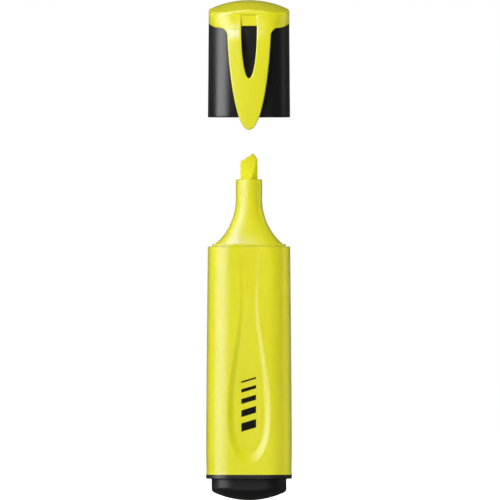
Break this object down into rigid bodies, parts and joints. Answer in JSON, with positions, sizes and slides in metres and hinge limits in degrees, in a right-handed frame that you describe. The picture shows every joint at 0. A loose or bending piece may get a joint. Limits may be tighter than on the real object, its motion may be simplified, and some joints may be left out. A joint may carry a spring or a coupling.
{
  "type": "highlighter",
  "caption": "Flat-sided yellow highlighter with a chisel nib, a thumb recess, a black tail plug and a pull-off cap with a springy pocket clip.",
  "frame": {"origin": "centre of the tail's end, on the pen's long axis", "axes": "+Z along the pen from the tail to the nib and cap; -Y is the front, with the clip and the thumb recess; +X completes a right-handed frame"},
  "size_m": [0.0258, 0.0194, 0.1503],
  "materials": {
    "yellow_plastic": "fluorescent yellow moulding with a soft gloss",
    "black_plastic": "black moulding with a satin sheen",
    "inked_fibre": "bonded fibre soaked in yellow ink",
    "film": "milky, unpigmented moulding and film"
  },
  "bodies": {
    "pen": {"barrel": "yellow_plastic", "nib_section": "yellow_plastic", "nib": "inked_fibre", "ink_reservoir": "inked_fibre", "reservoir_wrap": "film", "tail_plug": "black_plastic"},
    "cap": {"cap_shell": "black_plastic", "cap_crown": "yellow_plastic", "inner_cap": "film"},
    "clip": {"clip": "yellow_plastic"}
  },
  "joints": [
    {"name": "cap_slide", "type": "slide", "parent": "pen", "child": "cap", "axis": [0, 0, 1], "range_m": [-0.03846, 0]},
    {"name": "clip_flex", "type": "hinge", "parent": "cap", "child": "clip", "pos_m": [0, -0.00965, 0.1413], "axis": [-1, 0, 0], "range_deg": [0, 5], "stiffness_Nm_per_rad": 0.02}
  ]
}
